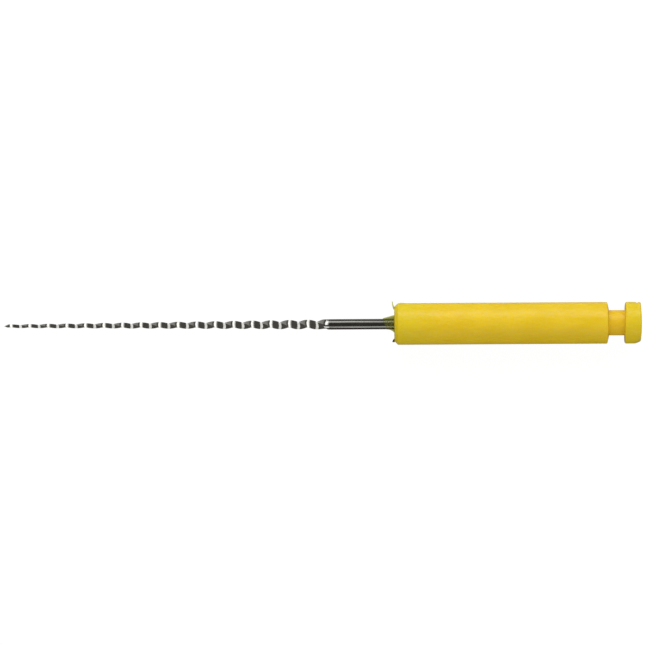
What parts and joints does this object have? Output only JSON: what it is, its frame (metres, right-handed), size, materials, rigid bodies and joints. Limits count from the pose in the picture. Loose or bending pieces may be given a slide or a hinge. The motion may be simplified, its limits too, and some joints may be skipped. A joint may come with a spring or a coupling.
{
  "type": "endodontic file",
  "caption": "Root canal file for a right-angle handpiece: slender tapered twisted steel wire, triangular in section, in a cylindrical plastic shank with drive flat, latch groove and head.",
  "frame": {"origin": "on the file's axis at the front face of the latch grip, where the steel wire leaves the plastic", "axes": "+X along the file's axis from the tip towards the latch end, +Z away from the drive flat, +Y across, towards the long strand of flash"},
  "size_m": [0.0361, 0.0025, 0.0024],
  "materials": {
    "steel": "bright ground stainless steel wire, cutting flats polished, fine lines along the shank",
    "yellow_plastic": "satin moulded nylon, faintly mottled, soft sheen",
    "flash_plastic": "thin translucent skin of the same yellow plastic, olive where steel shows through"
  },
  "bodies": {
    "root": {"file_wire": "steel", "latch_grip": "yellow_plastic", "flash_collar": "flash_plastic", "flash_strands": "flash_plastic"}
  },
  "joints": []
}
